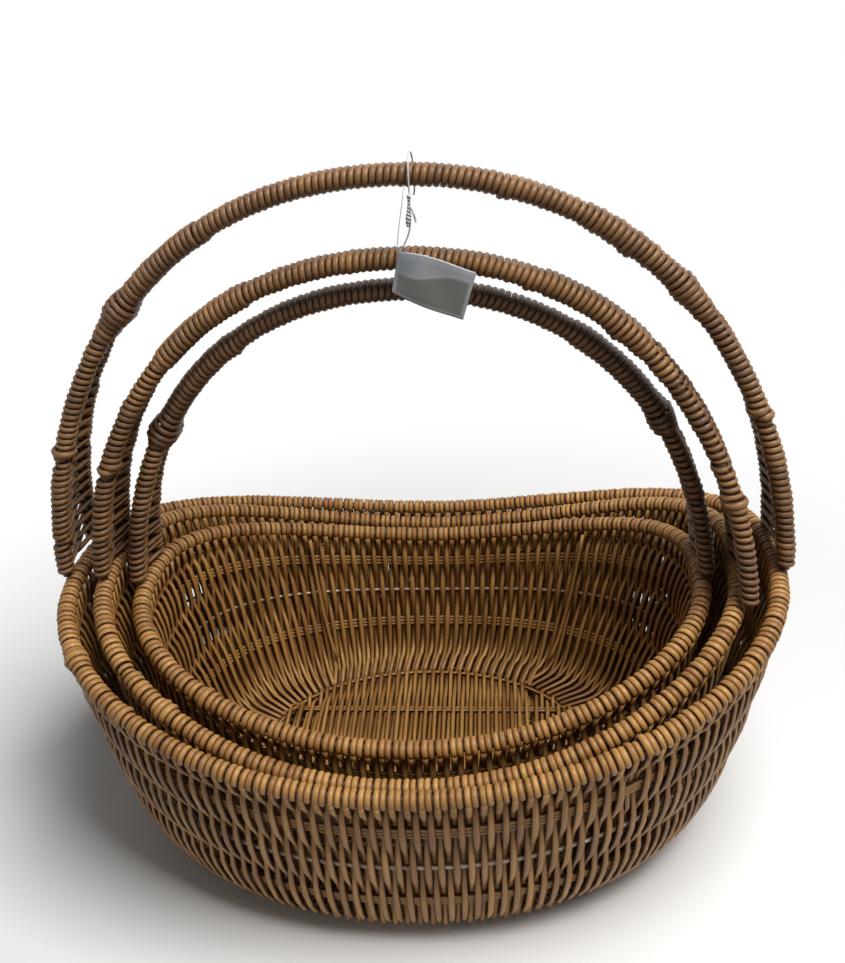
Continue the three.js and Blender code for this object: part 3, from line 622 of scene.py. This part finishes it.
def rim_frame(basket, angles):
    """Centre of the rim, its outward direction and the upward direction square to it."""
    centre = wall_point(basket, 1.0, angles)
    step = 0.004
    along = unit(wall_point(basket, 1.0, angles + step) - wall_point(basket, 1.0, angles - step))
    out = unit(np.stack([along[:, 1], -along[:, 0], 0 * along[:, 0]], -1))
    up = np.cross(out, along)
    up *= np.sign(up[:, 2:])
    return centre, out, up


def rim_turn_point(basket, angles, degrees, radius):
    """A point of a turn round the rim: 0 degrees is outward and 90 degrees is up."""
    centre, out, up = rim_frame(basket, angles)
    radial = out * np.cos(np.radians(degrees))[:, None] + up * np.sin(np.radians(degrees))[:, None]
    return centre + radial * np.asarray(radius).reshape(-1, 1), radial


def strand_angles(basket, rim_angles, foot_angles, level):
    """Angles of straight upright strands at one level, by halving the way from foot to rim."""
    rim = wall_point(basket, 1.0, rim_angles)[:, :2]
    foot = wall_point(basket, 0.0, foot_angles)[:, :2]
    half_length, half_width = half_sizes(basket, level)
    squareness = bottom_squareness + (rim_squareness - bottom_squareness) * level
    low, high = np.zeros(len(rim)), np.ones(len(rim))
    for _ in range(30):
        middle = (low + high) / 2
        spot = foot + (rim - foot) * middle[:, None]
        across = (spot[:, 0] - lean(basket, level)) / half_length
        inside = np.abs(across) ** squareness + np.abs(spot[:, 1] / half_width) ** squareness < 1
        low, high = np.where(inside, middle, low), np.where(inside, high, middle)
    return np.arctan2(spot[:, 1] / half_width, across)


strand_levels = [0.93, 0.86, 0.785, 0.715, 0.6625, 0.61, 0.54, 0.47, 0.41, 0.35, 0.28, 0.17, 0.08,
                 0.025, 0.003]
level_marks = [0, 0.003, 0.025, 0.08, 0.17, 0.28, 0.54, 0.785, 0.985]
phase_marks = [3.78, 3.72, 3.62, 3.46, 3.24, 3, 2, 1, 0]
for size, basket in baskets.items():
    body = size + "_basket"
    rim_angles, foot_angles, signs = strand_layout(basket)
    count = len(signs)
    leave = np.where(signs > 0, leave_degrees, 180 - leave_degrees)
    first, first_out = rim_turn_point(basket, rim_angles, leave, wrap_radius)
    stops, outs, swells = [first], [first_out * signs[:, None]], [1.0]
    drift = chance.normal(size=count) * strand_drift
    for level in strand_levels:
        angles = strand_angles(basket, rim_angles, foot_angles, level)
        angles += drift * math.sin(math.pi * level)
        normal = wall_normal(basket, level, angles)
        phase = np.interp(level, level_marks, phase_marks)
        reach = np.interp(phase, [0, 1], [wrap_radius, weave_reach])
        swing = math.cos(math.pi * phase)
        wave = math.copysign(abs(swing) ** wall_roundness, swing)
        offset = signs * reach * wave * (1 + looseness * (chance.random(count) - 0.5))
        if size == "large" and level > bare_from:
            offset[bare_strand] = -abs(offset[bare_strand])
        stops.append(wall_point(basket, level, angles) + normal * offset[:, None])
        outs.append(normal)
        swells.append(slimmest + hoop_swell * abs(swing))
    swells.append(tucked_swell)
    feet = wall_point(basket, 0.0, foot_angles)
    reach = joined_share * half_sizes(basket, 0.0)[0]
    joined = np.abs(feet[:, 0] - lean(basket, 0)) < reach
    inward = unit(feet - wall_point(basket, 1.0, rim_angles))
    inward[:, 2] = 0
    last = feet + unit(inward) * ring_inset
    ring_y = np.sign(feet[:, 1]) * ring_width(basket, feet[:, 0])
    on_ring = np.stack([feet[:, 0], ring_y, feet[:, 2]], -1)
    last = np.where(joined[:, None], on_ring, last)
    last[:, 2] = basket["ground"] + foot_height - weave_reach * signs
    stops.append(last)
    outs.append(np.broadcast_to(-straight_up, last.shape))
    tones = np.random.default_rng(len(size)).random(count)  # as the same canes have at the rim
    stops = np.stack(stops, 1)
    run = unit(np.gradient(stops, axis=1))
    beside = (np.roll(stops, -2, 0) - np.roll(stops, 2, 0)) / 4
    beside -= (beside * run).sum(-1, keepdims=True) * run
    room = np.clip(np.linalg.norm(beside, axis=-1) * strand_fill, *strand_widths) * np.array(swells)
    sizes = (0.96 + 0.08 * chance.random(count))[:, None]
    woven_wall = canes(size + "_woven_wall", stops, np.stack(outs, 1), tones, room,
                       strand_thickness, sizes=sizes)
    woven_wall.data.materials.append(cane_finish)
    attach(woven_wall, body)
    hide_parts(size + "_wall_weave")

# The rim. An iron rod is bent to the oval, and every strand of the wall is wound once round it,
# side by side with the next, and its end is tucked in under the rod. Some turns are lumpy.
turn_degrees = np.array([226, 203, 178, 152, 125, 95, 65, 35, 5, leave_degrees])
turn_bulge, turn_fatness, tuck_bulge = 0.11, 0.10, 1.06
lumpy_stretch = np.arange(253, 274)
lumps = {
    "large": {176: 1.15, 177: 1.32, 178: 1.2, 190: 1.22, 191: 0.9, 263: 0.82, 264: 1.2},
    "middle": {166: 0.84, 167: 0.8, 175: 1.2, 176: 1.25},
    "small": {151: 1.25, 152: 1.1},
}
rod_thickness = 0.005
iron_finish = grouped_material("dark_iron", mottle, {
    "Colour": (0.09, 0.06, 0.04, 1), "Stain": (0.16, 0.08, 0.04, 1), "Scale": 120.0, "Gloss": 0.45,
    "Relief": 0.0002}, metallic=0.5)
for size, basket in baskets.items():
    body = size + "_basket"
    rim_angles, _, signs = strand_layout(basket)
    count = len(signs)
    bulge = 1 + turn_bulge * (chance.random(count) - 0.5)
    if size == "large":
        bulge[lumpy_stretch] += 0.05 + 0.18 * chance.random(len(lumpy_stretch))
    fatness = 0.95 + turn_fatness * chance.random(count)
    for index, factor in lumps[size].items():
        bulge[index] *= factor
        fatness[index] *= factor
    stops, outs = [], []
    for degrees in turn_degrees:
        way = np.where(signs > 0, degrees, 180 - degrees)
        radius = np.where(degrees == leave_degrees, wrap_radius, wrap_radius * bulge)
        if degrees == turn_degrees[0]:
            radius = radius * tuck_bulge
        spot, radial = rim_turn_point(basket, rim_angles, way, radius)
        stops.append(spot)
        outs.append(radial)
    stops, outs = np.stack(stops, 1), np.stack(outs, 1)
    tones = np.random.default_rng(len(size)).random(count)
    tapered = np.interp(np.arange(len(turn_degrees)), [0, 1, 8, 9], [0.72, 1, 1, 0.97])
    bound_rim = canes(size + "_bound_rim", stops, outs * signs[:, None, None], tones,
                      wrap_width, wrap_thickness, sizes=fatness[:, None] * tapered)
    bound_rim.data.materials.append(cane_finish)
    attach(bound_rim, body)
    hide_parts(size + "_rim_binding")
    around = even_angles(basket, 1.0, np.arange(round_stops) / round_stops)[0]
    centre, out, _ = rim_frame(basket, around)
    rim_core = canes(size + "_rim_core", centre[None], out, [0.5], rod_thickness, rod_thickness,
                     sides=10, closed=True)
    rim_core.data.materials.append(iron_finish)
    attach(rim_core, body)
    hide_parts(size + "_rim_rod")

# The handle's two rods. They stand apart on the rim at each end, draw together on the way up
# and run side by side over the top.
handle_squareness = 2.115
grip_half_gap = 0.00265
leg_draw = 1.35
arch_drop = 0.0085
rim_to_foot = 0.0053


def arch_base(basket):
    return basket["depth"] + basket["end_rise"] - arch_drop


def drawn_in(basket, height):
    """How far the rods have drawn together at a height: 0 at the foot and 1 where they meet."""
    share = (height - arch_base(basket)) / (basket["arch"] * basket["merge"])
    return np.clip(share, 0, 1) ** leg_draw


def half_spread(basket, height):
    inward = drawn_in(basket, height)
    return basket["spread"] / 2 * (1 - inward) + grip_half_gap * inward


def arch_line(basket, polar):
    """Points between the two rods: polar 0 is the right foot and pi the left one."""
    reach = outline_reach(handle_squareness, polar)
    x = (basket["length"] / 2 + basket["overhang"]) * reach * np.cos(polar)
    z = arch_base(basket) + basket["arch"] * reach * np.sin(polar)
    left, middle, right = basket["feet_ahead"]
    inward = drawn_in(basket, z)
    feet = np.where(x < 0, left, right)
    return np.stack([x, -(feet * (1 - inward) + middle * inward), z], -1)


def polar_at(basket, height):
    up = (height - arch_base(basket)) / basket["arch"]
    return math.atan2(up, (1 - up ** handle_squareness) ** (1 / handle_squareness))


def even_arch(basket, start, end, steps):
    """Equal steps along the arch between two of its polar angles."""
    fine = arch_line(basket, np.linspace(start, end, 1200))
    lengths = np.concatenate([[0], np.cumsum(np.linalg.norm(np.diff(fine, axis=0), axis=1))])
    wanted = np.linspace(0, lengths[-1], steps)
    return np.stack([np.interp(wanted, lengths, fine[:, k]) for k in range(3)], -1), lengths[-1]


def foot_top(basket, end_side, side):
    foot = arch_line(basket, np.array([0.0 if end_side > 0 else math.pi]))[0]
    y = foot[1] + side * basket["spread"] / 2
    angle = math.atan2(y / basket["width"], foot[0] / basket["length"])
    return float(rim_height(basket, angle)) + rim_to_foot


for size, basket in baskets.items():
    for side_name, side in (("front", -1), ("back", 1)):
        start = polar_at(basket, foot_top(basket, 1, side))
        end = math.pi - polar_at(basket, foot_top(basket, -1, side))
        line = even_arch(basket, start, end, 80)[0]
        line[:, 1] += side * half_spread(basket, line[:, 2])
        line[:, 2] += basket["ground"]
        rod = canes(f"{size}_{side_name}_handle_core", line[None], [0, 1, 0], [0.5],
                    rod_thickness, rod_thickness, sides=10)
        rod.data.materials.append(iron_finish)
        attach(rod, size + "_basket")
        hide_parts(f"{size}_handle_{side_name}_rod")

# The lacing of the handle's legs. One cane goes in figures of eight round the two rods, with one
# or two close turns on each, from the rim up to where the rods have nearly met.
turn_pitch = 0.0037
lacing_width, lacing_thickness = 0.0035, 0.0027
rod_clearance = 0.0001
laced_spread = 0.0056
above_foot, above_laced = 0.0015, 0.002
tone_step, turn_swell = 0.3, 0.07
first_degrees, degree_step, crossing_degrees = 105, 30, 150
splice_reach, splice_lift = 0.0019, 0.003
stay_width, stay_thickness = 0.0030, 0.0024
stay_stretch = slice(40, 330, 10)
stay_inset, stay_apart = 0.0033, 0.0049
splices = {
    ("large", "left"): ((0.245, 1.4), (0.2405, 0.7), (0.190, 0.7)),
    ("large", "right"): ((0.258, 1.3), (0.254, 0.75)),
    ("middle", "left"): ((0.233, 0.65), (0.237, 1.25)),
    ("middle", "right"): ((0.240, 0.65), (0.222, 1.35)),
}
# The handles' cane: browner than the wall's, and darker all over as painted shade on the handles.
handle_finish_with_shade = grouped_material("handle_cane_shaded", cane_grain_and_shade, {
    "Pale": (0.33, 0.17, 0.058, 1), "Deep": (0.115, 0.05, 0.016, 1),
    "Painted Shade": (0.16, 0.09, 0.045, 1)}, coat=0.05, mirror=0.35)


def height_of_spread(basket, spread):
    widest = basket["spread"] / 2
    share = ((widest - spread) / (widest - grip_half_gap)) ** (1 / leg_draw)
    return arch_base(basket) + share * basket["arch"] * basket["merge"]


for size, basket in baskets.items():
    for end, end_side in (("left", -1), ("right", 1)):
        feet = {side: foot_top(basket, end_side, side) for side in (1, -1)}
        foot = min(feet.values())
        low = polar_at(basket, foot + above_foot)
        high = polar_at(basket, height_of_spread(basket, laced_spread) + above_laced)
        ends = (low, high) if end_side > 0 else (math.pi - low, math.pi - high)
        leg, length = even_arch(basket, *ends, 400)
        reached = {1: feet[1] - foot, -1: feet[-1] - foot + turn_pitch / 2}
        spots, tones = [], []
        visit, tone = 0, 0.5
        while min(reached.values()) < length:
            side = 1 if visit % 2 == 0 else -1
            turns = 2 if size == "large" else (1, 2)[(visit // 2 + visit) % 2]
            if visit < 2:
                turns += round((max(feet.values()) - feet[side]) / turn_pitch)
            tone = min(max(tone + chance.normal() * tone_step, 0), 1)
            swell = 1 + turn_swell * chance.normal()
            for swept in np.arange(0, 360 * turns - crossing_degrees + 1, degree_step):
                way = reached[side] + turn_pitch * swept / 360
                spots.append((side, first_degrees - swept, way, swell))
                tones.append(tone)
            reached[side] += turn_pitch * turns
            visit += 1
        rod, lobe, way, swell = np.array(spots).T
        lobe = np.radians(lobe)
        place = np.clip(way / length, 0, 1) * (len(leg) - 1)
        upward = unit(np.gradient(leg, axis=0))
        stops = np.arange(len(leg))
        centre, along = (np.stack([np.interp(place, stops, line[:, c]) for c in range(3)], -1)
                         for line in (leg, upward))
        out = unit(np.stack([along[:, 2], 0 * along[:, 2], -along[:, 0]], -1)) * end_side
        radius = rod_thickness / 2 + rod_clearance + lacing_thickness / 2 * swell
        path = centre + out * (radius * np.sin(lobe))[:, None]
        path[:, 1] += rod * (half_spread(basket, centre[:, 2]) + radius * np.cos(lobe))
        radial = out * np.sin(lobe)[:, None]
        radial[:, 1] += rod * np.cos(lobe)
        path[:, 2] += basket["ground"]
        for height, factor in splices.get((size, end), ()):
            at_splice = (rod < 0) & (np.abs(path[:, 2] - height) < splice_reach)
            swell = np.where(at_splice, swell * factor, swell)
            path = path + radial * (at_splice * (factor - 1) * splice_lift)[:, None]
        crossings = np.repeat(np.nonzero(np.diff(rod))[0] + 1, 3)
        share = np.tile([0.25, 0.5, 0.75], len(crossings) // 3)[:, None]
        over = path[crossings - 1] * (1 - share) + path[crossings] * share
        turned = (radial[crossings - 1] * np.cos(np.pi * share)
                  + along[crossings] * np.sin(np.pi * share))
        path, radial = np.insert(path, crossings, over, 0), np.insert(radial, crossings, turned, 0)
        tones = np.insert(np.array(tones), crossings, np.array(tones)[crossings])
        swell = np.insert(swell, crossings, swell[crossings])
        lacing = canes(f"{size}_{end}_leg_cane", path[None], radial, tones, lacing_width,
                       lacing_thickness, sizes=swell)
        stay = leg[stay_stretch].copy()
        stay_up = upward[stay_stretch]
        inward = np.stack([-stay_up[:, 2], 0 * stay_up[:, 2], stay_up[:, 0]], -1) * end_side
        stay += inward * stay_inset
        stay[:, 1] -= half_spread(basket, stay[:, 2]) - stay_apart
        stay[:, 2] += basket["ground"]
        laid_in = canes("laid_in_cane", stay[None], inward, [0.95], stay_width, stay_thickness)
        bpy.ops.object.select_all(action="DESELECT")
        laid_in.select_set(True)
        lacing.select_set(True)
        bpy.context.view_layer.objects.active = lacing
        bpy.ops.object.join()
        lacing.data.materials.append(handle_finish_with_shade)
        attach(lacing, size + "_basket")
        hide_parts(f"{size}_{end}_leg_lacing")

# The grip. Over the top of the arch one cane is wound round both rods, turn against turn. It is
# thicker towards its ends, where the ends of the lacing lie under it in a lump.
grip_pitch = 0.00348
slender_share, end_growth = 0.55, 0.0009
lump_length = 0.006
tuck_depth, tuck_length = 0.0008, 0.003
knob_height, knob_length = 0.0017, 0.0026
grip_swell, tone_drift, tone_limits = 0.035, 0.05, (-0.9, 1.2)
end_lumps = {"large": (0.0024, 0.0011), "middle": (0.0003, 0.0), "small": (0.0028, 0.0018)}
lump_places = {"large": 0.018, "middle": 0.010, "small": 0.007}
# Grip tones: the large and the small grip are darker and the middle one lighter, as painted shade
# and painted light on the grips.
grip_shade_tones = {"large": -0.3, "middle": 1.0, "small": -0.8}
knob_places = {"large": (-0.094, 0.058, 0.117), "middle": (0.070, 0.113), "small": (-0.089,)}
grip_degrees = np.array([-72, -36, 0, 36, 72, 108, 144, 180, 216, 252.0])
for size, basket in baskets.items():
    join = polar_at(basket, height_of_spread(basket, laced_spread))
    length = even_arch(basket, join, math.pi - join, 10)[1]
    turns = round(length / grip_pitch)
    steps = turns * len(grip_degrees)
    grip = even_arch(basket, math.pi - join, join, steps)[0]
    along = unit(np.gradient(grip, axis=0))
    out = unit(np.stack([-along[:, 2], 0 * along[:, 2], along[:, 0]], -1))
    angle = np.radians(-grip_degrees[np.arange(steps) % len(grip_degrees)])
    front = -np.cos(angle)
    spread = half_spread(basket, grip[:, 2])
    travelled = np.linspace(0, length, steps)
    from_middle = np.abs(travelled / length * 2 - 1)
    radius = wrap_radius + end_growth * np.clip((from_middle - slender_share) / 0.02, 0, 1)
    left_lump, right_lump = end_lumps[size]
    radius += left_lump * np.exp(-((travelled - lump_places[size]) / lump_length) ** 2)
    radius += right_lump * np.exp(-((length - travelled - lump_places[size]) / lump_length) ** 2)
    radius -= tuck_depth * (np.exp(-travelled / tuck_length)
                            + np.exp(-(length - travelled) / tuck_length))
    for place in knob_places[size]:
        below = np.clip(np.sin(angle), 0, 1)
        radius += knob_height * below * np.exp(-((grip[:, 0] - place) / knob_length) ** 2)
    swell = np.repeat(1 + grip_swell * chance.normal(size=turns), len(grip_degrees))
    radius *= 1 + (swell - 1) * 0.6
    path = grip + out * (radius * np.sin(-angle))[:, None]
    path[:, 1] += np.sign(front) * spread + front * radius
    radial = out * np.sin(-angle)[:, None]
    radial[:, 1] += front
    path[:, 2] += basket["ground"]
    drift = np.cumsum(chance.normal(size=turns)) * tone_drift
    tones = np.clip(grip_shade_tones[size] + drift, *tone_limits)
    tones = np.repeat(0.5 * tones + 0.5 * chance.random(turns), len(grip_degrees))
    bound_grip = canes(size + "_bound_grip", path[None], radial, tones, wrap_width,
                       wrap_thickness, sizes=swell)
    bound_grip.data.materials.append(handle_finish_with_shade)
    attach(bound_grip, size + "_basket")
    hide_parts(size + "_grip_binding")

# The light and the floor: a soft lamp above the front right, a very weak one further in front,
# a white surround and a pale floor that fades into it.
lamps = (
    dict(place=(0.44, -0.26, 1.35), aim_height=0.15, size=0.7, energy=25),
    dict(place=(0.8, -1.3, 0.9), aim_height=0.2, size=1.0, energy=0.4),
)
for lamp in lamps:
    bpy.ops.object.light_add(type="AREA", location=lamp["place"])
    light = bpy.context.object
    light.data.size = lamp["size"]
    light.data.energy = lamp["energy"]
    away = Vector(lamp["place"]) - Vector((0, 0, lamp["aim_height"]))
    light.rotation_euler = away.to_track_quat("Z", "Y").to_euler()

surround_light = 0.10
world = bpy.data.worlds.new("surround")
world.use_nodes = True
bpy.context.scene.world = world
tree = world.node_tree
surround = tree.nodes["Background"]
surround.inputs["Color"].default_value = (1, 1, 1, 1)
rays = add_node(tree, "ShaderNodeLightPath").outputs
seen = add_node(tree, "ShaderNodeMath", {0: rays["Is Camera Ray"], 1: rays["Is Glossy Ray"]},
                operation="MAXIMUM")
seen = add_node(tree, "ShaderNodeMath", {0: seen.outputs[0], 1: rays["Is Transmission Ray"]},
                operation="MAXIMUM")
level = add_node(tree, "ShaderNodeMapRange", {
    "Value": seen.outputs[0], "To Min": surround_light, "To Max": 1.0})
tree.links.new(level.outputs["Result"], surround.inputs["Strength"])

floor_size, floor_drop = 6, 0.0002
fade_start, fade_end = 0.24, 0.55
bpy.ops.mesh.primitive_plane_add(size=floor_size, location=(0, 0, -floor_drop))
floor = bpy.context.object
floor.name = "floor"
bpy.ops.object.transform_apply(location=True, rotation=True, scale=True)
floor_finish = grouped_material("pale_floor", mottle, {
    "Colour": (0.80, 0.80, 0.79, 1), "Stain": (0.81, 0.81, 0.80, 1), "Scale": 4.0, "Gloss": 0.6,
    "Relief": 0.0})
tree = floor_finish.node_tree
place = add_node(tree, "ShaderNodeTexCoord").outputs["Object"]
distance = add_node(tree, "ShaderNodeVectorMath", {0: place}, operation="LENGTH")
fade = add_node(tree, "ShaderNodeMapRange", {
    "Value": distance.outputs["Value"], "From Min": fade_start, "From Max": fade_end,
}, interpolation_type="SMOOTHSTEP").outputs["Result"]
clear = add_node(tree, "ShaderNodeBsdfTransparent").outputs["BSDF"]
solid = tree.nodes["Principled BSDF"].outputs["BSDF"]
blend = add_node(tree, "ShaderNodeMixShader", {0: fade, 1: solid, 2: clear})
tree.links.new(blend.outputs["Shader"], tree.nodes["Material Output"].inputs["Surface"])
floor.data.materials.append(floor_finish)

bpy.context.scene.view_settings.view_transform = "Standard"
